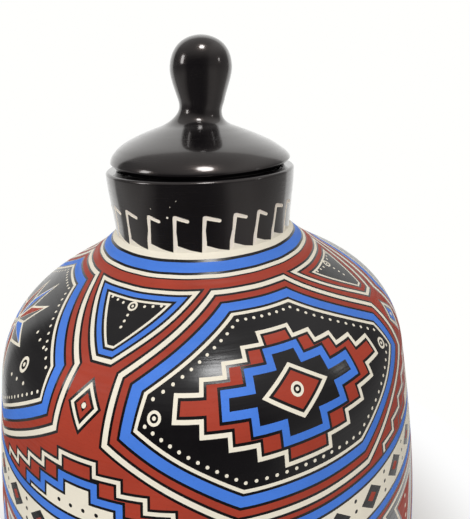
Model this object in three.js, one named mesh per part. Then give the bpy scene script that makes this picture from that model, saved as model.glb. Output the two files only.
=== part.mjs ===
// Lidded pot: a hollow earthenware jar and a domed lid with a pear-shaped knob.
// Millimetres, +Z up, the foot rests on z = 0 and the axis of the pot is the Z axis.

import * as THREE from 'three';

// Jar: heights are measured up from the ground.
const JAR_HEIGHT = 281.1;
const FOOT_RADIUS = 50;
const FOOT_ROUNDING = 4;
const BELLY_RADIUS = 111.5;
const BELLY_HEIGHT = 0.3626 * JAR_HEIGHT;
const SHOULDER_RADIUS = 0.902 * BELLY_RADIUS;
const SHOULDER_HEIGHT = 0.7097 * JAR_HEIGHT;
const WALL = 5.5;
const FLOOR = 7;

// Collar and rim. The collar narrows a little down to the crease where the shoulder starts.
const COLLAR_RADIUS = 47;
const COLLAR_HEIGHT = 30.6;
const COLLAR_TAPER = 2.1;
const COLLAR_WALL = 4.9;
const CREASE_HEIGHT = 1;
const CREASE_FLARE = 0.7;
const RIM_FLAT = 1.4;
const RIM_DROP = 1.4;
const MOUTH_ROUNDING = 1;

// Lid: a narrow seat rests on the rim. Outside the seat the edge is undercut, which leaves a dark line.
const SEAT_GAP = 0.3;
const SEAT_WIDTH = 1;
const EDGE_INSET = 2.2;
const EDGE_LIFT = 1.3;
const EDGE_ROUNDING = 1.2;
const RING_CLEARANCE = 1.2;
const RING_THICKNESS = 4;
const RING_DEPTH = 10;
const RING_CHAMFER = 1;
const LID_WALL = 5.5;
const DOME_RADIUS = 18.5;
const DOME_HEIGHT = 19.4;
const CEILING_CROWN = 1;

// Knob: it flows out of the dome into a narrow waist, then swells into a bulb.
const WAIST_RADIUS = 10.9;
const WAIST_HEIGHT = 27.7;
const KNOB_RADIUS = 15.1;
const BULB_HEIGHT = 47.2;
const KNOB_HEIGHT = 62.3;

// Facets round the axis.
const JAR_SIDES = 60;
const LID_SIDES = 48;

// Least distance kept between the points where one stretch of profile takes over from another.
const CLEAR = 1;

const at = (r, z) => new THREE.Vector2(r, z);

// A smooth stretch of profile. Each handle leaves its end by a share of the run and of the rise.
function sweep(from, leave, arrive, to, steps) {
  const run = to.x - from.x;
  const rise = to.y - from.y;
  const first = at(from.x + leave[0] * run, from.y + leave[1] * rise);
  const second = at(to.x - arrive[0] * run, to.y - arrive[1] * rise);
  return new THREE.CubicBezierCurve(from, first, second, to).getPoints(steps);
}

// Joins stretches of profile end to end, without the point that two of them share.
function chain(...stretches) {
  const points = [];
  for (const stretch of stretches) {
    for (const point of stretch) {
      const last = points[points.length - 1];
      if (!last || last.distanceTo(point) > 0.01) points.push(point);
    }
  }
  return points;
}

// The same profile moved inwards by one wall thickness, square to the clay.
function inset(profile, thickness) {
  return profile.map((point, i) => {
    const before = profile[Math.max(i - 1, 0)];
    const after = profile[Math.min(i + 1, profile.length - 1)];
    const along = after.clone().sub(before).normalize();
    return at(point.x - along.y * thickness, point.y + along.x * thickness);
  });
}

// Turns a profile that starts and ends on the axis into a closed solid about +Z.
function revolve(profile, sides) {
  const geometry = new THREE.LatheGeometry(profile, sides);
  geometry.rotateX(Math.PI / 2);
  return geometry;
}

// Outside of the jar, from the foot up to the crease under the collar.
const foot = at(FOOT_RADIUS + FOOT_ROUNDING, FOOT_ROUNDING);
const belly = at(BELLY_RADIUS, BELLY_HEIGHT);
const shoulder = at(SHOULDER_RADIUS, SHOULDER_HEIGHT);
const creaseRadius = COLLAR_RADIUS - COLLAR_TAPER;
const crease = at(creaseRadius, JAR_HEIGHT - COLLAR_HEIGHT);
const slopeTop = at(creaseRadius + CREASE_FLARE, crease.y - CREASE_HEIGHT);

const footTurn = sweep(at(FOOT_RADIUS, 0), [0.5, 0], [0.5, 0.4], foot, 3);
const lowerBody = sweep(foot, [0.4, 0.19], [0, 0.46], belly, 8);
const upperBody = sweep(belly, [0, 0.31], [0.42, 0.28], shoulder, 5);
const slope = sweep(shoulder, [0.095, 0.588], [0.382, 0.44], slopeTop, 10);

// Collar, rim and mouth.
const rimSide = at(COLLAR_RADIUS, JAR_HEIGHT - RIM_DROP);
const rimEdge = at(COLLAR_RADIUS - RIM_FLAT, JAR_HEIGHT);
const collar = sweep(crease, [0.05, 0.33], [0, 0.34], rimSide, 4);
const rim = sweep(rimSide, [0, 0.5], [0.55, 0], rimEdge, 4);
const boreRadius = creaseRadius - COLLAR_WALL;
const mouth = sweep(
  at(boreRadius + MOUTH_ROUNDING, JAR_HEIGHT), [0.5, 0], [0, 0.5],
  at(boreRadius, JAR_HEIGHT - MOUTH_ROUNDING), 2,
);

// Inside of the jar: the straight bore, then one wall thickness in from the body.
const skin = chain(lowerBody, upperBody, slope);
const hollow = inset(skin, WALL).reverse();
const bore = at(boreRadius, slopeTop.y);
const cavity = hollow.filter((point) => point.x > boreRadius + CLEAR && point.y > FLOOR + CLEAR);
cavity.push(at(cavity[cavity.length - 1].x - FLOOR, FLOOR));

const jarProfile = chain(
  [at(0, 0)], footTurn, lowerBody, upperBody, slope, collar, rim, mouth, [bore], cavity,
  [at(0, FLOOR)],
);

// Underside of the lid: the ceiling, the locating ring, the seat and the undercut edge.
const seatZ = JAR_HEIGHT + SEAT_GAP;
const ringRadius = boreRadius - RING_CLEARANCE;
const ringInside = ringRadius - RING_THICKNESS;
const ringEnd = JAR_HEIGHT - RING_DEPTH;
const seatRadius = boreRadius + MOUTH_ROUNDING + SEAT_WIDTH;
const edgeBottom = seatZ + EDGE_LIFT;
const edgeSide = at(COLLAR_RADIUS - EDGE_INSET, edgeBottom + EDGE_ROUNDING);

// Top of the lid: rounded edge, dome, waist and bulb.
const domeTop = at(DOME_RADIUS, JAR_HEIGHT + DOME_HEIGHT);
const waist = at(WAIST_RADIUS, JAR_HEIGHT + WAIST_HEIGHT);
const bulb = at(KNOB_RADIUS, JAR_HEIGHT + BULB_HEIGHT);
const crown = at(0, JAR_HEIGHT + KNOB_HEIGHT);
const edge = sweep(at(edgeSide.x - EDGE_ROUNDING, edgeBottom), [0.5, 0], [-0.14, 0.48], edgeSide, 3);
const dome = sweep(edgeSide, [0.04, 0.2], [0.86, 0.48], domeTop, 9);
const flow = sweep(domeTop, [0.94, 0.31], [0, 0.13], waist, 5);
const neck = sweep(waist, [0, 0.22], [0, 0.3], bulb, 5);
const cap = sweep(bulb, [0.02, 0.5], [0.72, 0.06], crown, 7);

// The ceiling keeps one wall thickness under the dome and meets the ring in a cove at 45 degrees.
const ceiling = inset(dome, LID_WALL)
  .filter((point) => point.x < ringInside - CLEAR && point.x > WAIST_RADIUS)
  .reverse();
const lowest = ceiling[ceiling.length - 1];
const cove = at(ringInside, lowest.y - (ringInside - lowest.x));

const lidProfile = chain(
  [at(0, ceiling[0].y + CEILING_CROWN)], ceiling, [cove],
  [at(ringInside, ringEnd + RING_CHAMFER), at(ringInside + RING_CHAMFER, ringEnd)],
  [at(ringRadius - RING_CHAMFER, ringEnd), at(ringRadius, ringEnd + RING_CHAMFER)],
  [at(ringRadius, seatZ), at(seatRadius, seatZ)],
  edge, dome, flow, neck, cap,
);

const blackSlip = new THREE.MeshStandardMaterial({ color: '#18171a', roughness: 0.22, metalness: 0 });
const redSlip = new THREE.MeshStandardMaterial({ color: '#8f3a2b', roughness: 0.5, metalness: 0 });

const jar = new THREE.Mesh(revolve(jarProfile, JAR_SIDES), redSlip);
jar.name = 'jar';

const lid = new THREE.Mesh(revolve(lidProfile, LID_SIDES), blackSlip);
lid.name = 'lid';

const pot = new THREE.Group();
pot.name = 'lidded_pot';
pot.add(jar, lid);

export default pot;
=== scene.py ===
import math
import random

import bpy
import numpy as np
from bpy.props import FloatProperty, FloatVectorProperty, IntProperty, PointerProperty
from mathutils import Matrix, Vector, geometry


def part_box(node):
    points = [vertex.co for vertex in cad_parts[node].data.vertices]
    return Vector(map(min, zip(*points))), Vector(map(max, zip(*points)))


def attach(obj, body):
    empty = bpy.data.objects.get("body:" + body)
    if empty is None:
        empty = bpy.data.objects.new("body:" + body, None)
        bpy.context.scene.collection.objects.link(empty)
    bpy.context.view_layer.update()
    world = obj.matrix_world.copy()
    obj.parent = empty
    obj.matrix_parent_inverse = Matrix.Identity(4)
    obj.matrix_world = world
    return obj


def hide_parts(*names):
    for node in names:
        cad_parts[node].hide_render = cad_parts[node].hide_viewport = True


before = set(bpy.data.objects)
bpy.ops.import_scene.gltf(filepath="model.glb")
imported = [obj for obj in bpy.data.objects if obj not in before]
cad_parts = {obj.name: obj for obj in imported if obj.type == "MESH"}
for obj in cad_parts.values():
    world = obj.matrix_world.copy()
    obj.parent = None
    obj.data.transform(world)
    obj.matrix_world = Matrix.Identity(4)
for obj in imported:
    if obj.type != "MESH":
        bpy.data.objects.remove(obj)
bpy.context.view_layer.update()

bl_info = {
    "name": "Painted lidded pot",
    "version": (1, 0, 0),
    "blender": (4, 5, 0),
    "location": "View3D > Sidebar > Pot",
    "description": "Builds a burnished, slip-painted earthenware jar and its lid over the CAD frame",
    "category": "Add Mesh",
}

MM = 0.001
JAR_LOW, JAR_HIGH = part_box("jar")
RIM_Z = JAR_HIGH[2] / MM

# Facets round the axis.
JAR_SIDES = 240
LID_SIDES = 192

# The jar, in millimetres, as in the CAD. The shares are of the belly's radius and the jar's height.
SHOULDER_RADIUS_SHARE = 0.902
SHOULDER_HEIGHT_SHARE = 0.7097
BELLY_HEIGHT_SHARE = 0.3626
FLOOR = 7
FOOT_ROUNDING = 4
COLLAR_HEIGHT = 30.6
COLLAR_TAPER = 2.1
COLLAR_WALL = 4.9
CREASE_HEIGHT = 1
CREASE_FLARE = 0.7
RIM_FLAT = 1.4
RIM_DROP = 1.4
MOUTH_ROUNDING = 1

# The lid, in millimetres. Heights are above the rim.
LID_WALL = 5.5
SEAT_GAP = 0.3
SEAT_WIDTH = 1
EDGE_INSET = 2.2
EDGE_LIFT = 1.3
EDGE_ROUNDING = 1.2
RING_CLEARANCE = 1.2
RING_THICKNESS = 4
RING_DEPTH = 10
RING_CHAMFER = 1
DOME_RADIUS, DOME_HEIGHT = 18.5, 19.4
WAIST_RADIUS, WAIST_HEIGHT = 10.9, 27.7
BULB_RADIUS, BULB_HEIGHT = 15.1, 47.2
KNOB_HEIGHT = 62.3

# Least distance kept between the points where one stretch of profile takes over from another.
CLEAR = 1

# How far the black slip runs down inside the mouth, at least.
BLACK_DEPTH = 5

# How the hand-built lid strays from a turned one, in steps of (lowest height, highest height, share).
# Sideways and back are shares of the lid's lean, and the swell is a share of the radius.
SIDEWAYS = ((0, 3, 0.2), (0, 16, -1), (17, 32, 1.45), (33, 61, 0.35))
BACK = ((0, 15, 1), (3, 18, 1.5), (16, 29, -0.95))
SWELL = ((4, 12, 0.03), (22, 30, -0.03), (30, 45, 0.02))
EDGE = ((0.3, 1.6, 1), (3, 9, -1))
EDGE_UP_AT_SIDES = 1.6
EDGE_DOWN_IN_FRONT = 0.3
KNOB_UP = ((30, 60, 0.6),)

# Where the painting starts, in degrees of turn from the front. The collar's seam is behind, and the
# body's start is a whole number of facets from it, so that both sheets share their points.
COLLAR_START = -183
BODY_START = COLLAR_START + 156

# The camera: its turn, tilt and roll in radians, its distance in front of the axis and its height above
# the rim in millimetres, and how many pixels of its height the picture is moved down by.
CAMERA_YAW, CAMERA_PITCH, CAMERA_ROLL = 0.08497, 0.24136, -0.02774
CAMERA_AWAY = 197
CAMERA_ABOVE_RIM = 29.32
PICTURE_HEIGHT = 519
PICTURE_DOWN = 60


def linear(code):
    """An sRGB hex colour as linear red, green and blue."""
    values = [int(code[i:i + 2], 16) / 255 for i in (1, 3, 5)]
    return [v / 12.92 if v <= 0.04045 else ((v + 0.055) / 1.055) ** 2.4 for v in values]


def slip_colour(name, about, code):
    """A colour that the user can change, from its sRGB hex value."""
    return FloatVectorProperty(
        name=name, description=about, default=linear(code), size=3, min=0, max=1, subtype="COLOR")


def length(name, about, millimetres):
    """A length that the user can change, from its size in millimetres."""
    return FloatProperty(
        name=name, description=about, default=millimetres * MM, min=0, subtype="DISTANCE", unit="LENGTH")


def brightness(name, about, radiance):
    """How bright a lamp or a wall looks, where 1 is white."""
    return FloatProperty(
        name=name, description="Brightness of " + about, default=radiance, min=0, subtype="FACTOR")


class PotSizes(bpy.types.PropertyGroup):
    """Sizes that the potter and the painter decide."""

    belly_radius: length("Belly radius", "Widest radius of the body", (JAR_HIGH[0] - JAR_LOW[0]) / MM / 2)
    collar_radius: length("Collar radius", "Widest radius of the collar, under the rim", 47)
    foot_radius: length("Foot radius", "Radius of the flat foot", 50)
    wall: length("Wall", "Thickness of the clay", 5.5)
    line_width: length("Line width", "Width of the black line round each painted area", 0.95)
    cut_depth: length("Cut depth", "Depth of the strokes scraped through the black slip", 0.15)
    strokes: IntProperty(
        name="Strokes", description="Hooked strokes round the collar", default=24, min=8, max=60)
    tremble: length("Tremble", "How far a painted line strays from the plan", 0.05)
    lid_lean: length("Lid lean", "How far the hand-made knob stands off the lid's centre", 2.5)


class PotColours(bpy.types.PropertyGroup):
    """Colours of the slips and the clay."""

    black: slip_colour("Black slip", "Burnished black of the lid, collar and outlines", "#131113")
    red: slip_colour("Red slip", "Brick red of the body's ground", "#A93A25")
    blue: slip_colour("Blue slip", "Cobalt blue of the rings and frames", "#457FE2")
    cream: slip_colour("Cream slip", "Cream of the lines and bands", "#F6EEDB")
    scraped: slip_colour("Scraped clay", "Bare clay at the bottom of the cut strokes", "#FBF0E2")
    clay: slip_colour("Fired clay", "Unpainted clay inside the jar and under the lid", "#BE8F68")
    floor: slip_colour("Floor", "Colour of the table that the pot stands on", "#DEDCD8")


class PotStage(bpy.types.PropertyGroup):
    """Camera, lamps and the room that the pot mirrors."""

    focal: length("Focal length", "Focal length of the camera's lens", 26.7)
    ceiling_lamp: brightness("Ceiling lamp", "the round lamp that makes the highlights", 18)
    ceiling: brightness("Ceiling", "the pale ceiling", 0.42)
    window: brightness("Windows", "the two narrow windows at the sides", 7)
    wall_behind: brightness("Wall behind", "the white wall behind the pot", 0.9)
    right_wall: brightness("Right wall", "the daylight that is added on the right", 0.2)
    fill: brightness("Fill lamp", "the large soft lamp in front, which isn't mirrored", 2.7)
    room: brightness("Room", "the paler walls of the dim room in front of the pot", 0.42)


# Profiles, in millimetres. A point is (radius, height).


def sweep(start, leave, arrive, end, steps):
    """A smooth stretch of profile: each handle leaves its end by a share of the run and of the rise."""
    run, rise = end[0] - start[0], end[1] - start[1]
    first = (start[0] + leave[0] * run, start[1] + leave[1] * rise)
    second = (end[0] - arrive[0] * run, end[1] - arrive[1] * rise)
    points = []
    for i in range(steps + 1):
        t = i / steps
        a, b, c, d = (1 - t) ** 3, 3 * (1 - t) ** 2 * t, 3 * (1 - t) * t * t, t ** 3
        points.append(tuple(a * p + b * q + c * r + d * s for p, q, r, s in zip(start, first, second, end)))
    return points


def chain(*stretches):
    """Stretches of profile joined end to end, without the points that two of them share."""
    points = []
    for stretch in stretches:
        for point in stretch:
            if not points or math.dist(points[-1], point) > 0.01:
                points.append(point)
    return points


def inset(profile, thickness):
    """The same profile moved inwards by one thickness, square to the clay."""
    moved = []
    for i, (r, z) in enumerate(profile):
        before, after = profile[max(i - 1, 0)], profile[min(i + 1, len(profile) - 1)]
        span = math.dist(before, after)
        along = ((after[0] - before[0]) / span, (after[1] - before[1]) / span)
        moved.append((r - along[1] * thickness, z + along[0] * thickness))
    return moved


class Skin:
    """A stretch of profile read by the distance along it, for painting on. It runs downwards."""

    def __init__(self, profile):
        self.r, self.z = np.array(profile).T
        steps = np.hypot(np.diff(self.r), np.diff(self.z))
        self.s = np.concatenate([[0], np.cumsum(steps)])
        self.length = float(self.s[-1])

    def radius(self, s):
        return np.interp(s, self.s, self.r)

    def height(self, s):
        return np.interp(s, self.s, self.z)

    def normal(self, s):
        """The outward direction as (radial, upward)."""
        near = 0.4
        s = np.clip(s, 0, self.length)
        low, high = np.maximum(s - near, 0), np.minimum(s + near, self.length)
        dr, dz = self.radius(high) - self.radius(low), self.height(high) - self.height(low)
        span = np.hypot(dr, dz)
        return -dz / span, dr / span


def bore_radius(sizes):
    """Radius of the straight bore of the collar."""
    return sizes.collar_radius / MM - COLLAR_TAPER - COLLAR_WALL


def jar_profiles(sizes):
    """The jar's profile in three stretches: the body, the collar, and the rim with the inside."""
    belly_radius = sizes.belly_radius / MM
    collar_radius = sizes.collar_radius / MM
    foot_radius = sizes.foot_radius / MM
    crease = (collar_radius - COLLAR_TAPER, RIM_Z - COLLAR_HEIGHT)
    slope_top = (crease[0] + CREASE_FLARE, crease[1] - CREASE_HEIGHT)
    shoulder = (SHOULDER_RADIUS_SHARE * belly_radius, SHOULDER_HEIGHT_SHARE * RIM_Z)
    belly = (belly_radius, BELLY_HEIGHT_SHARE * RIM_Z)
    foot = (foot_radius + FOOT_ROUNDING, FOOT_ROUNDING)
    slope = sweep(slope_top, (0.382, 0.44), (0.095, 0.588), shoulder, 60)
    upper = sweep(shoulder, (0.42, 0.28), (0, 0.31), belly, 40)
    lower = sweep(belly, (0, 0.46), (0.4, 0.19), foot, 50)
    turn = sweep(foot, (0.5, 0.4), (0.5, 0), (foot_radius, 0), 8)
    body = chain([crease], slope, upper, lower, turn)

    rim_side = (collar_radius, RIM_Z - RIM_DROP)
    rim_edge = (collar_radius - RIM_FLAT, RIM_Z)
    collar = sweep(rim_side, (0, 0.34), (0.05, 0.33), crease, 24)
    rim = sweep(rim_side, (0, 0.5), (0.55, 0), rim_edge, 9)

    bore = bore_radius(sizes)
    mouth_end = RIM_Z - MOUTH_ROUNDING
    mouth = sweep((bore + MOUTH_ROUNDING, RIM_Z), (0.5, 0), (0, 0.5), (bore, mouth_end), 5)
    bore_wall = [(bore, mouth_end - (mouth_end - slope_top[1]) * i / 6) for i in range(7)]
    hollow = inset(chain(lower[::-3], upper[::-3], slope[::-3]), sizes.wall / MM)[::-1]
    hollow = [p for p in hollow if p[0] > bore + CLEAR and p[1] > FLOOR + CLEAR]
    floor = [(r, FLOOR) for r in (hollow[-1][0] - FLOOR, 0.6 * foot_radius, 0.3 * foot_radius, 0)]
    inside = chain(rim, mouth, bore_wall, hollow, floor)
    return body, collar, inside


def lid_profiles(sizes):
    """The lid's profile in two stretches: the bare underside and the polished outside."""
    bore = bore_radius(sizes)
    seat_z = RIM_Z + SEAT_GAP
    seat_radius = bore + MOUTH_ROUNDING + SEAT_WIDTH
    ring = bore - RING_CLEARANCE
    ring_inside = ring - RING_THICKNESS
    ring_end = RIM_Z - RING_DEPTH
    edge_bottom = seat_z + EDGE_LIFT
    edge_side = (sizes.collar_radius / MM - EDGE_INSET, edge_bottom + EDGE_ROUNDING)
    dome_top = (DOME_RADIUS, RIM_Z + DOME_HEIGHT)
    waist = (WAIST_RADIUS, RIM_Z + WAIST_HEIGHT)
    bulb = (BULB_RADIUS, RIM_Z + BULB_HEIGHT)
    crown = (0, RIM_Z + KNOB_HEIGHT)
    edge = sweep((edge_side[0] - EDGE_ROUNDING, edge_bottom), (0.5, 0), (-0.14, 0.48), edge_side, 8)
    dome = sweep(edge_side, (0.04, 0.2), (0.86, 0.48), dome_top, 44)
    flow = sweep(dome_top, (0.94, 0.31), (0, 0.13), waist, 20)
    neck = sweep(waist, (0, 0.22), (0, 0.3), bulb, 24)
    cap = sweep(bulb, (0.02, 0.5), (0.72, 0.06), crown, 30)

    ceiling = [p for p in inset(dome, LID_WALL) if p[0] < ring_inside - CLEAR][::-1]
    top, low = ceiling[0][1], ceiling[-1]
    cove = (ring_inside, low[1] - (ring_inside - low[0]))
    turn_in = (ring_inside, ring_end + RING_CHAMFER)
    turn_out = (ring, ring_end + RING_CHAMFER)
    end = [(ring_inside + RING_CHAMFER, ring_end), (ring - RING_CHAMFER, ring_end)]
    underside = chain([(0, top + 1), (8, top + 0.6)], ceiling, [cove, turn_in], end, [turn_out])
    outside = chain([turn_out, (ring, seat_z), (seat_radius, seat_z)], edge, dome, flow, neck, cap)
    return underside, outside


# Painting. A point of a pattern is (turn in degrees, distance down the skin in millimetres).


class Pattern:
    """Painted areas on one repeat of a skin. What is painted later covers what was painted before."""

    # How near to a hairpin a corner may come before its point is cut back.
    HAIRPIN = 0.18

    def __init__(self, skin, repeat, line, tremble=0):
        self.skin = skin
        self.repeat = repeat
        self.edge = ("black", line)
        self.tremble = tremble
        self.areas = []

    def scale(self, d):
        """Millimetres round the pot for one degree, at a distance down the skin."""
        return math.radians(1) * float(self.skin.radius(np.clip(d, 0, self.skin.length)))

    def grow(self, outline, by):
        """An outline moved outwards by some millimetres, with its corners kept sharp."""
        outline = anticlockwise(outline)
        moved = []
        for i, (t, d) in enumerate(outline):
            wide = self.scale(d)
            before, after = outline[i - 1], outline[(i + 1) % len(outline)]
            a = unit(((t - before[0]) * wide, d - before[1]))
            b = unit(((after[0] - t) * wide, after[1] - d))
            n = (a[1] + b[1], -a[0] - b[0])
            lean = max(1 + a[0] * b[0] + a[1] * b[1], self.HAIRPIN)
            moved.append((t + n[0] / lean * by / wide, d + n[1] / lean * by))
        return moved

    def paint(self, outline, slip, level=0):
        """Fills an outline with a slip. Level 1 is the wall and level 2 the bottom of a cut."""
        self.areas.append((anticlockwise(outline), slip, level))

    def frames(self, outline, *rings):
        """Fills an outline with nested rings, each a slip and a width. Returns what is left inside."""
        depth = 0
        for slip, width in rings:
            self.paint(self.grow(outline, -depth), slip)
            depth += width
        return self.grow(outline, -depth)

    def line(self, a, b, width, slip):
        """A straight line of even width from a to b."""
        left, right = [], []
        for t, d in (a, b):
            wide = self.scale(d)
            x, y = unit(((b[0] - a[0]) * wide, b[1] - a[1]))
            across, down = y * width / 2 / wide, -x * width / 2
            left.append((t + across, d + down))
            right.append((t - across, d - down))
        self.paint(left + right[::-1], slip)

    def disc(self, t, d, radius, slip, sides=16):
        """A round dot."""
        wide = self.scale(d)
        turns = [2 * math.pi * i / sides for i in range(sides)]
        self.paint([(t + radius * math.cos(a) / wide, d + radius * math.sin(a)) for a in turns], slip)

    def eye(self, t, d, radius):
        """A cream dot with a black ring in it."""
        self.disc(t, d, radius, "cream", 20)
        self.disc(t, d, radius * 0.6, "black")
        self.disc(t, d, radius * 0.28, "cream", 10)

    def dots(self, a, b, count, radius, slip="cream"):
        """A row of dots from a to b."""
        for i in range(count):
            share = i / (count - 1)
            self.disc(a[0] + (b[0] - a[0]) * share, a[1] + (b[1] - a[1]) * share, radius, slip, 10)

    def hatch(self, a, b, apex, count, width, slip):
        """Lines side by side across a triangle, parallel to its side from a to b."""
        for i in range(1, count + 1):
            share = i / (count + 1)
            ends = [tuple(p + (q - p) * share for p, q in zip(end, apex)) for end in (a, b)]
            self.line(*ends, width, slip)

    def rings(self, top, *rings):
        """Rings right round the pot, one under the other, each a slip and a width.

        Their two ends meet halfway round a repeat, where no other area is cut.
        """
        start = self.repeat / 2
        end = start + self.repeat
        for slip, width in rings:
            bottom = top + width
            self.paint([(start, top), (end, top), (end, bottom), (start, bottom)], slip)
            top = bottom

    def by_hand(self, t, d):
        """Where a point of the plan ends up. It strays in waves, but not at the skin's two ends."""
        wave = 14
        a, b = 2 * math.pi * t / self.repeat, d / wave
        across = math.sin(4 * a + b) + math.sin(9 * a - 1.7 * b + 1)
        down = math.sin(5 * a - b + 2) + math.sin(11 * a + 1.3 * b)
        stray = self.tremble * ease(1, 4, d) * ease(1, 4, self.skin.length - d)
        return t + stray * across / self.scale(d), d + stray * down

    def laid_out(self, longest=2.5):
        """Every area's outline in fine steps, with copies of those that cross into the next repeat."""
        wide = math.radians(1) * float(self.skin.r.max())
        for outline, slip, level in self.areas:
            fine = []
            for a, b in zip(outline, outline[1:] + outline[:1]):
                steps = max(1, math.ceil(math.hypot((b[0] - a[0]) * wide, b[1] - a[1]) / longest))
                fine += [self.by_hand(a[0] + (b[0] - a[0]) * i / steps, a[1] + (b[1] - a[1]) * i / steps)
                         for i in range(steps)]
            low, high = min(p[0] for p in fine), max(p[0] for p in fine)
            for turn in (-self.repeat, 0, self.repeat):
                if high + turn > 0 and low + turn < self.repeat:
                    yield [(t + turn, d) for t, d in fine], slip, level


def unit(vector):
    """A vector of length 1 along a plane vector."""
    size = math.hypot(*vector) or 1
    return vector[0] / size, vector[1] / size


def anticlockwise(outline):
    """An outline that runs anticlockwise when turn goes right and distance goes up."""
    doubled = sum(a[0] * b[1] - b[0] * a[1] for a, b in zip(outline, outline[1:] + outline[:1]))
    return list(outline) if doubled > 0 else list(reversed(outline))


def triangulate(pattern, columns, rows, ground):
    """One repeat of a pattern cut into triangles, each with its slip and its level.

    Returns the points as (turn, distance), and the triangles as (corners, slip, level).
    """
    deep = pattern.skin.length
    wide = math.radians(1) * float(pattern.skin.r.max())
    across = columns + 1
    points = [Vector((pattern.repeat * i / columns * wide, -deep * j / rows))
              for j in range(rows + 1) for i in range(across)]
    edges = []
    for i in range(columns):
        edges += [(i, i + 1), (rows * across + i, rows * across + i + 1)]
    for j in range(rows):
        edges += [(j * across, (j + 1) * across), (j * across + columns, (j + 1) * across + columns)]
    faces, looks = [], []
    for outline, slip, level in pattern.laid_out():
        start = len(points)
        points += [Vector((t * wide, -d)) for t, d in outline]
        faces.append(list(range(len(points) - 1, start - 1, -1)))
        looks.append((slip, level))
    whole_hull, nearest, with_owners = 0, 1e-5, True
    found = geometry.delaunay_2d_cdt(points, edges, faces, whole_hull, nearest, with_owners)
    # Rounded to a thousandth, so that sheets that meet share their points.
    spots = [(round(p.x / wide, 3), deep if deep + p.y < 0.001 else round(-p.y, 3)) for p in found[0]]
    kept = []
    for triangle, owners in zip(found[2], found[5]):
        t = sum(spots[i][0] for i in triangle) / 3
        d = sum(spots[i][1] for i in triangle) / 3
        if 0 < t < pattern.repeat and 0 < d < deep:
            slip, level = looks[max(owners)] if owners else (ground, 0)
            kept.append((list(triangle), slip, level))
    return spots, kept


class Clay:
    """A mesh under construction: points in metres, faces with a finish, and a normal for each corner."""

    # Points that agree to a ten-thousandth of a millimetre are one point.
    FINENESS = 1e4

    def __init__(self, finishes):
        self.finishes = finishes
        self.points = []
        self.places = {}
        self.faces = []
        self.kinds = []
        self.normals = []

    def point(self, x, y, z):
        """The number of a point, made once however many faces meet in it."""
        key = tuple(round(v * self.FINENESS) for v in (x, y, z))
        if key not in self.places:
            self.places[key] = len(self.points)
            self.points.append((x * MM, y * MM, z * MM))
        return self.places[key]

    def face(self, corners, normals, finish):
        """Adds a face, unless its corners have run together."""
        kept = [i for i, c in enumerate(corners) if c != corners[i - 1]]
        if len(kept) < 3 or len({corners[i] for i in kept}) < len(kept):
            return
        self.faces.append([corners[i] for i in kept])
        self.normals += [normals[i] for i in kept]
        self.kinds.append(self.finishes.index(finish))

    def make_piece(self, name, materials, body):
        """Makes the piece, which stands for the CAD node that its body is named for."""
        mesh = bpy.data.meshes.new(name)
        mesh.from_pydata(self.points, [], self.faces)
        for finish in self.finishes:
            mesh.materials.append(materials[finish])
        mesh.polygons.foreach_set("material_index", self.kinds)
        mesh.polygons.foreach_set("use_smooth", [True] * len(self.faces))
        mesh.update()
        mesh.normals_split_custom_set(self.normals)
        piece = bpy.data.objects.new(name, mesh)
        bpy.context.collection.objects.link(piece)
        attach(piece, body)
        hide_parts(body)


def around(degrees, r, z):
    """A point at a turn from the front, seen from above: the front faces -Y, and turn goes right."""
    a = math.radians(degrees)
    return r * math.sin(a), -r * math.cos(a), z


def wrap_pattern(clay, pattern, columns, rows, ground, turn, cut):
    """Lays every repeat of a pattern onto its skin."""
    spots, triangles = triangulate(pattern, columns, rows, ground)
    distances = np.array([d for _, d in spots])
    radii, heights = pattern.skin.radius(distances), pattern.skin.height(distances)
    out, up = pattern.skin.normal(distances)
    sunk = {i for corners, _, level in triangles if level == 2 for i in corners}
    for k in range(round(360 / pattern.repeat)):
        made = []
        for i, (t, _) in enumerate(spots):
            depth = cut if i in sunk else 0
            angle = turn + t + k * pattern.repeat
            place = around(angle, radii[i] - depth * out[i], heights[i] - depth * up[i])
            made.append((place, around(angle, out[i], up[i])))
        for corners, slip, level in triangles:
            normals = [made[i][1] for i in corners]
            if level == 1:
                a, b, c = (Vector(made[i][0]) for i in corners)
                flat = (b - a).cross(c - a)
                if flat.length > 1e-6:
                    normals = [tuple(flat.normalized())] * 3
            clay.face([clay.point(*made[i][0]) for i in corners], normals, slip)


def turn_profile(clay, profile, sides, turn, finish, bend=around):
    """Revolves a profile whose clay lies on its left, in one finish. Bend gives each point its place."""
    # Stretches that meet at less than about 37 degrees are shaded as one. This is its cosine.
    smooth = 0.8
    slants = [unit((b[1] - a[1], a[0] - b[0])) for a, b in zip(profile, profile[1:])]
    for i, here in enumerate(slants):
        ends = []
        for j in (i, i + 1):
            near = [n for n in slants[max(j - 1, 0):j + 1] if n[0] * here[0] + n[1] * here[1] > smooth]
            ends.append(unit((sum(n[0] for n in near), sum(n[1] for n in near))))
        ring = []
        for k in range(sides + 1):
            angle = turn + 360 * k / sides
            for (r, z), n in zip(profile[i:i + 2], ends):
                ring.append((clay.point(*bend(angle, r, z)), bent_normal(bend, angle, r, z, n)))
        for k in range(sides):
            corners = (ring[2 * k], ring[2 * k + 2], ring[2 * k + 3], ring[2 * k + 1])
            clay.face([c for c, _ in corners], [n for _, n in corners], finish)


def bent_normal(bend, angle, r, z, n):
    """The outward direction of a bent surface, where its profile faces n as (radial, upward)."""
    axis, step, small_turn = 0.1, 0.02, 0.2
    plain = Vector(around(angle, *n))
    if r < axis:
        return tuple(plain)
    here = Vector(bend(angle, r, z))
    along = Vector(bend(angle, r - step * n[1], z + step * n[0])) - here
    normal = (Vector(bend(angle + small_turn, r, z)) - here).cross(along).normalized()
    return tuple(normal if normal.dot(plain) > 0 else -normal)


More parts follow.
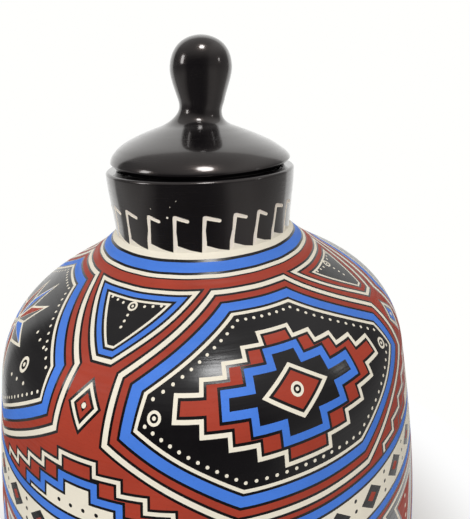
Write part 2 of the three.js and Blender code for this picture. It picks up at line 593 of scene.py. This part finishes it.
def ease(low, high, value):
    """Runs smoothly from 0 at low to 1 at high."""
    share = min(max((value - low) / (high - low), 0), 1)
    return share * share * (3 - 2 * share)


def drift(steps, h):
    """How far something strays at a height, as the sum of smooth steps."""
    return sum(share * ease(low, high, h) for low, high, share in steps)


def hand_built(lean):
    """Gives each point of the turned lid its place on the hand-built one.

    The dome sits a little back and to the left of its seat, the knob a little to the right, and the
    edge stands a little higher at the sides than in front.
    """
    def bend(angle, r, z):
        h = z - RIM_Z
        x, y, _ = around(angle, r * (1 + drift(SWELL, h)), z)
        side = math.sin(math.radians(angle)) ** 2
        up = (EDGE_UP_AT_SIDES * side - EDGE_DOWN_IN_FRONT) * drift(EDGE, h) + drift(KNOB_UP, h)
        return x + lean * drift(SIDEWAYS, h), y + lean * drift(BACK, h), z + up

    return bend


# What is painted on the jar.


def paint_collar(pattern, count):
    """Hooked strokes scraped through the black slip, standing on a cream band at the crease."""
    deep = pattern.skin.length
    wide = pattern.scale(deep)
    pattern.rings(deep - 0.1, ("cream", 3.1))
    hand = random.Random(5)
    even = [360 * i / count for i in range(count)]
    # The strokes draw together and open out a little, three times round.
    places = [t + 1.2 * math.cos(math.radians(3 * (t - 187))) for t in even]
    for i, here in enumerate(places):
        after = places[(i + 1) % count] + (360 if i == count - 1 else 0)
        gap = (after - here) * wide
        lean = 1.5 + hand.uniform(-0.5, 0.5)
        reach = 8.3 + hand.uniform(-0.6, 0.5)
        drop = 1.7 + hand.uniform(-0.3, 0.4)
        top = 16.5 + hand.uniform(-0.4, 0.4)

        def at(x, h):
            """A point at millimetres to the right of the stroke's foot and above the crease."""
            return here + x / wide, deep - h

        wedge = [at(0, 0.05), at(gap, 0.05), at(gap * 0.62, 1.1), at(2.1, 3.1), at(0.5, 3.6)]
        pattern.paint(wedge, "cream")
        tip = top - drop
        hook = [
            at(0, 0.05), at(1.1, 0.6), at(2.05, 1.6), at(2.15, 4.5), at(lean + 0.9, 9.5),
            at(lean + 1.5, top - 1.9), at(reach - 0.7, tip - 1.6), at(reach - 0.15, tip - 1.3),
            at(reach, tip - 0.8), at(reach - 0.2, tip - 0.25), at(reach - 0.8, tip),
            at(lean + 1.4, top), at(lean + 0.6, top), at(lean + 0.1, top - 0.4), at(lean - 0.1, top - 1.2),
            at(lean - 0.5, 9.5), at(0.25, 4.5),
        ]
        pattern.paint(hook, "cream", 1)
        pattern.paint(pattern.grow(hook, -0.3), "scraped", 2)
    # Chips in the slip, where the pale clay shows: turn, height above the crease and radius.
    chips = ((164, 15.7, 0.5), (155, 19.2, 0.22), (166, 20.4, 0.16), (169.5, 22.9, 0.18), (77, 18, 0.3))
    for t, h, radius in chips:
        pattern.disc(t, deep - h, radius, "cream", 8)


def paint_body(pattern):
    """Rings at the neck, a frieze of framed panels, and bands of geometric motifs below."""
    pattern.rings(
        -2, ("cream", 4.9), ("black", 1.3), ("blue", 4.5), ("black", 1.1), ("cream", 1.6), ("black", 0.6))
    paint_gap(pattern, 0, "blue")
    paint_gap(pattern, 90, "red")
    paint_frame(pattern, 45)
    paint_diamonds(pattern, 45, 59)
    paint_frame(pattern, 135)
    paint_star(pattern, 135, 59)
    paint_waist_bands(pattern)
    paint_zigzag(pattern)
    paint_foot(pattern)


def paint_frame(pattern, t):
    """An eight-sided frame of nested lines round a black field, with dots along its sides."""
    edge = pattern.edge
    outline = [(t - 17, 16), (t + 17, 16), (t + 40, 50), (t + 40, 73),
               (t + 15, 98), (t - 15, 98), (t - 40, 73), (t - 40, 50)]
    field = pattern.frames(
        outline, edge, ("cream", 1.9), edge, ("red", 2.3), edge, ("blue", 3.6), edge, ("cream", 1.2))
    pattern.paint(field, "black")
    row = pattern.grow(field, -2.2)
    for a, b in zip(row, row[1:] + row[:1]):
        wide = pattern.scale((a[1] + b[1]) / 2)
        run = math.hypot((b[0] - a[0]) * wide, b[1] - a[1])
        if run > 12:
            pattern.dots(a, b, round(run / 3.4) + 1, 0.62)


def paint_diamonds(pattern, t, d):
    """Nested stepped diamonds."""
    edge = pattern.edge
    pattern.paint(pattern.frames(stepped_diamond(t, d, 26, 22.5, 5), ("cream", 1.4), edge), "red")
    for side in (-1, 1):
        pattern.eye(t + side * 29.5, d + 3, 2.3)
    pattern.paint(
        pattern.frames(stepped_diamond(t, d, 17, 16.5, 3), edge, ("blue", 2.6), edge), "black")
    pattern.paint(pattern.frames(diamond(t, d, 8, 9), ("cream", 1.3), edge), "red")
    pattern.eye(t, d, 2.4)


def paint_star(pattern, t, d):
    """An eight-pointed star, each point half light and half dark."""
    wide = pattern.scale(d)

    def at(radius, degrees):
        a = math.radians(degrees)
        return t + radius * math.sin(a) / wide, d - radius * math.cos(a)

    for i in range(8):
        turn = 45 * i
        tip, left, right = at(22, turn), at(10.5, turn - 22.5), at(10.5, turn + 22.5)
        pattern.paint(pattern.grow([(t, d), left, tip, right], 0.9), "cream")
        pattern.paint(pattern.grow([(t, d), left, tip], -0.25), "red" if i % 2 else "blue")
        pattern.paint(pattern.grow([(t, d), tip, right], -0.25), "black")
    pattern.eye(t, d, 3)
    for side in (-1, 1):
        pattern.eye(t + side * 22, d + 2, 3)
        for tall in (-1, 1):
            pattern.dots((t + side * 18, d + 9 * tall), (t + side * 25, d + 7 * tall), 3, 0.7)


def paint_gap(pattern, t, core):
    """Between two panels: a hanging triangle, a small diamond and a stepped mound."""
    edge = pattern.edge
    other = "red" if core == "blue" else "blue"
    hanging = [(t - 26, 16), (t + 26, 16), (t + 3, 49), (t - 3, 49)]
    pattern.paint(
        pattern.frames(hanging, edge, ("cream", 1.5), edge, (core, 1.9), edge, ("cream", 0.9)), "black")
    pattern.eye(t, 25.2, 2.1)
    pattern.dots((t, 29.2), (t, 34.4), 3, 0.6)
    for side in (-1, 1):
        pattern.dots((t + side * 4.5, 24.6), (t + side * 10.5, 23.6), 3, 0.6)

    small = diamond(t, 62, 4.2, 9)
    pattern.paint(pattern.frames(small, edge, ("cream", 1.1), edge, (other, 1.4)), "black")
    pattern.disc(t, 62, 0.9, "cream")

    # The bands painted later cover the lower half of the mound.
    mound, heart = stepped_diamond(t, 99, 25, 22, 5), stepped_diamond(t, 99, 15.5, 14.5, 3)
    pattern.paint(pattern.frames(mound, edge, ("cream", 1.4), edge), "red")
    pattern.paint(pattern.frames(heart, edge, (core, 2.4), edge), "cream")
    pattern.dots((t - 4.4, 96.4), (t + 4.4, 96.4), 4, 0.75, "black")


def paint_waist_bands(pattern):
    """A cream band with black lozenges between two blue rings."""
    ring = (("black", 1), ("blue", 3.1), ("black", 1))
    pattern.rings(99.5, *ring, ("cream", 12.8), *ring)
    for i in range(round(pattern.repeat / 10)):
        t = 10 * i
        pattern.paint(diamond(t, 111, 3.4, 5), "black")
        pattern.paint(diamond(t, 111, 1.4, 2), "red")
        for d in (107, 111, 115):
            pattern.disc(t + 5, d, 0.75, "black", 10)


def paint_zigzag(pattern):
    """Hanging black triangles and rising coloured ones, with dots and hatching."""
    edge = pattern.edge
    for i in range(round(pattern.repeat / 30)):
        low, high = 30 * i, 30 * i + 15
        hanging = [(high - 12.6, 124), (high + 12.6, 124), (high, 176)]
        pattern.paint(pattern.frames(hanging, edge, ("cream", 1.4)), "black")
        core = [(high - 6.8, 129), (high + 6.8, 129), (high, 157)]
        pattern.paint(pattern.frames(core, ("cream", 1.1), edge), "red")
        pattern.dots((high, 134), (high, 144), 3, 0.9)
        rising = [(low - 12.6, 178), (low + 12.6, 178), (low, 126)]
        inside = pattern.frames(rising, edge, ("blue", 2), edge)
        pattern.paint(inside, "blue" if i % 2 else "cream")
        pattern.hatch(*inside, 13, 1, "black")


def paint_foot(pattern):
    """Rings under the zigzag, a row of stepped teeth, and blades that run down to the black foot."""
    edge = pattern.edge
    border = (("black", 1), ("cream", 3), ("black", 1))
    pattern.rings(180, *border, ("blue", 4.5), ("black", 1), ("cream", 2), ("black", 1))
    pattern.rings(232, *border, ("blue", 4), ("black", 1))
    pattern.rings(296, ("black", 1), ("cream", 2.5))
    foot, end = 299.5, pattern.skin.length + 5
    pattern.rings(foot, ("black", end - foot))
    middle = 212.25
    for i in range(round(pattern.repeat / 15)):
        t = 15 * i
        right = [(6.3, 195), (6.3, 204), (3.7, 204), (3.7, 213), (1.2, 213), (1.2, 229)]
        tooth = [(t + a, d) for a, d in right] + [(t - a, d) for a, d in right[::-1]]
        pattern.paint(pattern.frames(tooth, ("cream", 1)), "black")
        pattern.dots((t - 3.4, 199.5), (t + 3.4, 199.5), 3, 0.8)
        answer = [(a + 7.5, 2 * middle - d) for a, d in tooth]
        pattern.paint(pattern.frames(answer, edge), "blue" if i % 2 else "red")
        blade = [(t - 6, 244), (t + 6, 244), (t + 4.6, 262), (t, 294), (t - 4.6, 262)]
        pattern.paint(pattern.frames(blade, ("cream", 1.2)), "black")
        pattern.dots((t, 250), (t, 270), 4, 0.9)


def diamond(t, d, half_turn, half_deep):
    """A diamond with straight sides."""
    return [(t - half_turn, d), (t, d - half_deep), (t + half_turn, d), (t, d + half_deep)]


def stepped_diamond(t, d, half_turn, half_deep, steps):
    """A diamond with stairs for sides."""
    quarter = []
    for i in range(steps):
        across = half_turn * (steps - i) / steps
        down = half_deep * (i + 1) / steps
        quarter += [(across, down), (across - half_turn / steps, down)]
    outline = []
    for right, low, order in ((1, 1, 1), (-1, 1, -1), (-1, -1, 1), (1, -1, -1)):
        outline += [(t + right * a, d + low * b) for a, b in quarter[:-1][::order]]
    return [p for i, p in enumerate(outline) if math.dist(p, outline[i - 1]) > 1e-6]


# Finishes.


def add(tree, kind, settings=None, links=None, stops=()):
    """Adds a shader node, sets its properties, sockets and colour stops, and links its inputs."""
    made = tree.nodes.new("ShaderNode" + kind)
    for name, value in (settings or {}).items():
        if isinstance(name, str) and hasattr(made, name):
            setattr(made, name, value)
        else:
            made.inputs[name].default_value = value
    for name, (source, output) in (links or {}).items():
        tree.links.new(source.outputs[output], made.inputs[name])
    for i, (place, colour) in enumerate(stops):
        if i >= len(made.color_ramp.elements):
            made.color_ramp.elements.new(place)
        made.color_ramp.elements[i].position = place
        made.color_ramp.elements[i].color = (*colour, 1)
    return made


def noise(tree, source, scale, detail, rough):
    """Noise over a place, with as many cells to a metre as its scale says."""
    settings = {"Scale": scale, "Detail": detail, "Roughness": rough}
    return add(tree, "TexNoise", settings, {"Vector": source})


def smooth_step(tree, source, start, end, low=0, high=1):
    """Runs smoothly from low to high while its source runs from start to end."""
    ends = {"From Min": start, "From Max": end, "To Min": low, "To Max": high}
    return add(tree, "MapRange", {"interpolation_type": "SMOOTHSTEP", **ends}, {"Value": source})


def combine(tree, operation, a, b):
    """The sum, product or larger of two values."""
    return add(tree, "Math", {"operation": operation}, {0: a, 1: b})


def greys(*stops):
    """Colour stops in plain greys, each a place and a level."""
    return [(place, [level] * 3) for place, level in stops]


def slip_finish(name, colour, mottle, speck, marks=0.1, rough=0.6, specular=0.5, coat=0, glow=(1, 1, 1)):
    """Clay slip, brushed on, rubbed and fired. Made once, however many pieces wear it.

    Mottle, speck and marks are how much its clouds, its grit and its rubbing marks show. Glow is the
    colour of the wide highlight under the sharp one that the coat gives.
    """
    if name in bpy.data.materials:
        return bpy.data.materials[name]
    colour = list(colour)[:3]
    material = bpy.data.materials.new(name)
    material.use_nodes = True
    tree = material.node_tree
    tree.nodes.clear()
    place = add(tree, "TexCoord")
    # Cloudy shades of the slip, about 20 mm across.
    cloud = noise(tree, (place, "Object"), scale=50, detail=5, rough=0.6)
    # Rubbing marks: 1 mm tall and 30 mm long, round the pot.
    strokes = add(tree, "Mapping", {"Scale": (30, 30, 900)}, {"Vector": (place, "Object")})
    streak = noise(tree, (strokes, "Vector"), scale=1, detail=3, rough=0.55)
    # Grit in the clay: grains of about half a millimetre.
    grit = noise(tree, (place, "Object"), scale=1900, detail=2, rough=0.7)
    base = add(
        tree, "ValToRGB", {}, {"Fac": (cloud, "Fac")},
        [(0.3, [c * (1 - mottle) for c in colour]), (0.7, [min(1, c * (1 + mottle)) for c in colour])])
    specks = add(tree, "ValToRGB", {}, {"Fac": (grit, "Fac")}, greys((0.3, 0.6), (0.42, 1)))
    mixed = add(
        tree, "Mix", {"data_type": "RGBA", "blend_type": "MULTIPLY", "Factor": speck},
        {"A": (base, "Color"), "B": (specks, "Color")})
    ends = {"From Min": 0.3, "From Max": 0.7, "To Min": rough * 0.8, "To Max": rough * 1.3}
    gloss = add(tree, "MapRange", ends, {"Value": (streak, "Fac")})
    rubbed = add(tree, "Bump", {"Strength": marks, "Distance": 0.0002}, {"Height": (streak, "Fac")})
    grainy = add(
        tree, "Bump", {"Strength": 0.08, "Distance": 0.0001},
        {"Height": (grit, "Fac"), "Normal": (rubbed, "Normal")})
    shader = add(
        tree, "BsdfPrincipled",
        {"IOR": 1.5, "Specular IOR Level": specular, "Specular Tint": (*glow, 1),
         "Coat Weight": coat, "Coat Roughness": 0.08},
        {"Base Color": (mixed, "Result"), "Roughness": (gloss, "Result"), "Normal": (grainy, "Normal")})
    add(tree, "OutputMaterial", {}, {"Surface": (shader, "BSDF")})
    return material


def make_finishes(colours):
    """The pot's finishes by name."""
    return {
        # Black slip rubbed with a stone until it mirrors, with a warm glow round its sharp reflections.
        "polished": slip_finish(
            "Polished_black_slip", colours.black, mottle=0.25, speck=0.3, rough=0.22, specular=0.42,
            coat=0.95, glow=(1, 0.82, 0.74)),
        # The same slip on the body, rubbed less: its highlights break up along the rubbing marks.
        "black": slip_finish(
            "Rubbed_black_slip", colours.black, mottle=0.25, speck=0.3, marks=0.3, rough=0.2),
        # Iron-red slip painted over the rubbed black: matt and even, with faint dark grit.
        "red": slip_finish("Matt_red_slip", colours.red, mottle=0.1, speck=0.45),
        # Cobalt-blue slip: matt, even, with a few dark grains.
        "blue": slip_finish("Matt_blue_slip", colours.blue, mottle=0.08, speck=0.35),
        # Cream slip: pale and matt, with hardly any grit.
        "cream": slip_finish("Matt_cream_slip", colours.cream, mottle=0.03, speck=0.12),
        # Bare clay at the bottom of a scraped stroke: dry, and as pale as the cream.
        "scraped": slip_finish(
            "Scraped_clay", colours.scraped, mottle=0.05, speck=0.2, rough=0.75, specular=0.3),
        # Low-fired earthenware inside: matt and grainy.
        "clay": slip_finish(
            "Bare_earthenware", colours.clay, mottle=0.12, speck=0.5, marks=0.2, rough=0.85,
            specular=0.3),
    }


# Operators.


class POT_OT_make_jar(bpy.types.Operator):
    """Builds the jar with its painted body, collar, rim and hollow inside"""

    bl_idname = "pot.make_jar"
    bl_label = "Make the jar"

    def execute(self, context):
        sizes = context.scene.pot_sizes
        line, foot_radius = sizes.line_width / MM, sizes.foot_radius / MM
        body, collar, inside = jar_profiles(sizes)
        clay = Clay(["polished", "black", "red", "blue", "cream", "scraped", "clay"])

        neck = Pattern(Skin(collar), 360, line)
        paint_collar(neck, sizes.strokes)
        wrap_pattern(
            clay, neck, columns=JAR_SIDES, rows=10, ground="polished", turn=COLLAR_START,
            cut=sizes.cut_depth / MM)

        shell = Pattern(Skin(body), 180, line, sizes.tremble / MM)
        paint_body(shell)
        wrap_pattern(clay, shell, columns=JAR_SIDES // 2, rows=90, ground="red", turn=BODY_START, cut=0)

        lip = next(i for i, (_, z) in enumerate(inside) if z < RIM_Z - BLACK_DEPTH)
        foot = [(0, 0), (foot_radius / 2, 0), (foot_radius, 0)]
        for profile, finish in ((inside[:lip + 1], "polished"), (inside[lip:], "clay"), (foot, "clay")):
            turn_profile(clay, profile, JAR_SIDES, COLLAR_START, finish)
        clay.make_piece("painted_jar", make_finishes(context.scene.pot_colours), "jar")
        return {"FINISHED"}


class POT_OT_make_lid(bpy.types.Operator):
    """Builds the lid: dome, pear-shaped knob, undercut edge and locating ring"""

    bl_idname = "pot.make_lid"
    bl_label = "Make the lid"

    def execute(self, context):
        sizes = context.scene.pot_sizes
        underside, outside = lid_profiles(sizes)
        clay = Clay(["polished", "clay"])
        bend = hand_built(sizes.lid_lean / MM)
        turn_profile(clay, underside, LID_SIDES, 0, "clay", bend)
        turn_profile(clay, outside, LID_SIDES, 0, "polished", bend)
        clay.make_piece("burnished_lid", make_finishes(context.scene.pot_colours), "lid")
        return {"FINISHED"}


def toward(turn, rise):
    """The direction at a turn from the front and an elevation, both in degrees."""
    a, b = math.radians(turn), math.radians(rise)
    return Vector((math.sin(a) * math.cos(b), -math.cos(a) * math.cos(b), math.sin(b)))


def hang_lamp(name, radiance, turn, rise, wide, tall, far=1, shape="RECTANGLE"):
    """A soft lamp that faces the rim from a distance, as bright as given wherever it is mirrored."""
    lamp = bpy.data.lights.new(name, "AREA")
    lamp.shape = shape
    lamp.size, lamp.size_y = wide, tall
    area = wide * tall * (math.pi / 4 if shape == "ELLIPSE" else 1)
    lamp.energy = radiance * math.pi * area
    holder = bpy.data.objects.new(name, lamp)
    holder.location = Vector((0, 0, RIM_Z * MM)) + toward(turn, rise) * far
    holder.rotation_euler = toward(turn, rise).to_track_quat("Z", "Y").to_euler()
    holder.visible_camera = False
    bpy.context.scene.collection.objects.link(holder)
    return holder


class POT_OT_make_stage(bpy.types.Operator):
    """Sets the table, the soft light and the camera"""

    bl_idname = "pot.make_stage"
    bl_label = "Make the stage"

    def execute(self, context):
        scene = context.scene
        stage = scene.pot_stage
        self.make_table(scene)
        self.make_room(scene)
        hang_lamp(
            "ceiling_lamp", stage.ceiling_lamp, turn=7.5, rise=65.5, wide=0.25, tall=0.25, shape="ELLIPSE")
        hang_lamp("window", stage.window, turn=-74, rise=26, wide=0.19, tall=0.3)
        hang_lamp("small_window", stage.window, turn=70, rise=20, wide=0.07, tall=0.11)
        fill = hang_lamp("fill_lamp", stage.fill, turn=-15, rise=5, wide=1, tall=1, far=1.2)
        fill.visible_glossy = False

        data = bpy.data.cameras.new("camera")
        camera = bpy.data.objects.new("camera", data)
        data.lens = stage.focal / MM
        data.sensor_width = 36
        data.shift_y = -PICTURE_DOWN / PICTURE_HEIGHT
        data.clip_start = 0.01
        camera.matrix_world = camera_place()
        scene.collection.objects.link(camera)
        scene.camera = camera
        scene.view_settings.view_transform = "Standard"
        return {"FINISHED"}

    def make_table(self, scene):
        """A round pale table whose colour runs out to the white of the backdrop."""
        radius, corners = 0.25, 96
        fade_from = (0.12, 0.22)
        turns = [2 * math.pi * i / corners for i in range(corners)]
        rim = [(radius * math.cos(a), radius * math.sin(a), 0) for a in turns]
        mesh = bpy.data.meshes.new("table")
        mesh.from_pydata(rim, [], [list(range(corners))])
        table = bpy.data.objects.new("table", mesh)
        scene.collection.objects.link(table)
        paint = bpy.data.materials.new("Matt_white_paint")
        paint.use_nodes = True
        tree = paint.node_tree
        tree.nodes.clear()
        place = add(tree, "TexCoord")
        far = add(tree, "VectorMath", {"operation": "LENGTH"}, {0: (place, "Object")})
        fade = smooth_step(tree, (far, "Value"), *fade_from)
        seen = combine(tree, "MULTIPLY", (fade, 0), (backdrop_rays(tree), 0))
        matt = add(tree, "BsdfPrincipled", {"Base Color": (*scene.pot_colours.floor, 1), "Roughness": 0.9})
        white = add(tree, "Emission", {"Color": (1, 1, 1, 1), "Strength": 1})
        both = add(tree, "MixShader", {}, {0: (seen, 0), 1: (matt, "BSDF"), 2: (white, "Emission")})
        add(tree, "OutputMaterial", {}, {"Surface": (both, "Shader")})
        mesh.materials.append(paint)

    def make_room(self, scene):
        """A white wall behind, a pale ceiling, daylight from the right and a dim room in front."""
        stage = scene.pot_stage
        world = scene.world = bpy.data.worlds.new("Pale_room")
        world.use_nodes = True
        tree = world.node_tree
        tree.nodes.clear()
        place = add(tree, "TexCoord")
        split = add(tree, "SeparateXYZ", {}, {"Vector": (place, "Generated")})
        wall_from = (0.49, 0.58)
        # The room in front, from left to right: a pale wall, a dark doorway, another pale wall.
        across = add(tree, "MapRange", {"From Min": -1}, {"Value": (split, "X")})
        walls = add(
            tree, "ValToRGB", {}, {"Fac": (across, "Result")},
            greys((0.04, 1), (0.12, 0.15), (0.68, 0.1), (0.77, 0.62), (0.89, 0.55), (0.96, 0.3)))
        # The walls are dimmer above the level of the pot than below it.
        dimmer = smooth_step(tree, (split, "Z"), -0.3, 0.08, stage.room, stage.room * 0.4)
        light = combine(tree, "MULTIPLY", (walls, "Color"), (dimmer, 0))
        # Daylight on the right, the ceiling and the white wall behind add to them.
        for axis, start, end, gain in (
                ("X", 0, 0.9, stage.right_wall), ("Z", 0.3, 0.9, stage.ceiling),
                ("Y", *wall_from, stage.wall_behind)):
            part = smooth_step(tree, (split, axis), start, end, 0, gain)
            light = combine(tree, "ADD", (part, 0), (light, 0))
        # The camera sees white all round. Mirrored rays see the same white where the wall behind is.
        ray = add(tree, "LightPath")
        behind = smooth_step(tree, (split, "Y"), *wall_from)
        wall = combine(tree, "MULTIPLY", (backdrop_rays(tree), 0), (behind, 0))
        shown = combine(tree, "MAXIMUM", (ray, "Is Camera Ray"), (wall, 0))
        room = add(tree, "Background", {"Color": (1, 0.985, 0.965, 1)}, {"Strength": (light, 0)})
        white = add(tree, "Background", {"Color": (1, 1, 0.985, 1), "Strength": 1})
        both = add(
            tree, "MixShader", {},
            {0: (shown, 0), 1: (room, "Background"), 2: (white, "Background")})
        add(tree, "OutputWorld", {}, {"Surface": (both, "Shader")})


def backdrop_rays(tree):
    """Gives 1 for the rays that show the backdrop: straight to the camera, mirrored, or through glass."""
    ray = add(tree, "LightPath")
    mirrored = combine(tree, "MAXIMUM", (ray, "Is Glossy Ray"), (ray, "Is Transmission Ray"))
    return combine(tree, "MAXIMUM", (ray, "Is Camera Ray"), (mirrored, 0))


def camera_place():
    """Where the photo was taken from, fitted to the collar's rings and the outline."""
    yaw = Matrix.Rotation(-CAMERA_YAW, 4, "Z")
    pitch = Matrix.Rotation(math.pi / 2 - CAMERA_PITCH, 4, "X")
    roll = Matrix.Rotation(CAMERA_ROLL, 4, "Z")
    place = Matrix.Translation((0, -CAMERA_AWAY * MM, (RIM_Z + CAMERA_ABOVE_RIM) * MM))
    return place @ yaw @ pitch @ roll


class POT_PT_panel(bpy.types.Panel):
    """Lists the pot's pieces and their settings"""

    bl_label = "Painted pot"
    bl_idname = "POT_PT_panel"
    bl_space_type = "VIEW_3D"
    bl_region_type = "UI"
    bl_category = "Pot"

    def draw(self, context):
        scene = context.scene
        for group in (scene.pot_sizes, scene.pot_colours, scene.pot_stage):
            column = self.layout.column()
            for name in group.__annotations__:
                column.prop(group, name)
        for operator in (POT_OT_make_stage, POT_OT_make_jar, POT_OT_make_lid):
            self.layout.operator(operator.bl_idname)


CLASSES = (
    PotSizes, PotColours, PotStage,
    POT_OT_make_jar, POT_OT_make_lid, POT_OT_make_stage,
    POT_PT_panel,
)


def register():
    for cls in CLASSES:
        bpy.utils.register_class(cls)
    bpy.types.Scene.pot_sizes = PointerProperty(type=PotSizes)
    bpy.types.Scene.pot_colours = PointerProperty(type=PotColours)
    bpy.types.Scene.pot_stage = PointerProperty(type=PotStage)


def unregister():
    del bpy.types.Scene.pot_sizes
    del bpy.types.Scene.pot_colours
    del bpy.types.Scene.pot_stage
    for cls in reversed(CLASSES):
        bpy.utils.unregister_class(cls)


def main():
    """Builds the whole scene."""
    register()
    bpy.ops.pot.make_stage()
    bpy.ops.pot.make_jar()
    bpy.ops.pot.make_lid()


if __name__ == "__main__":
    main()
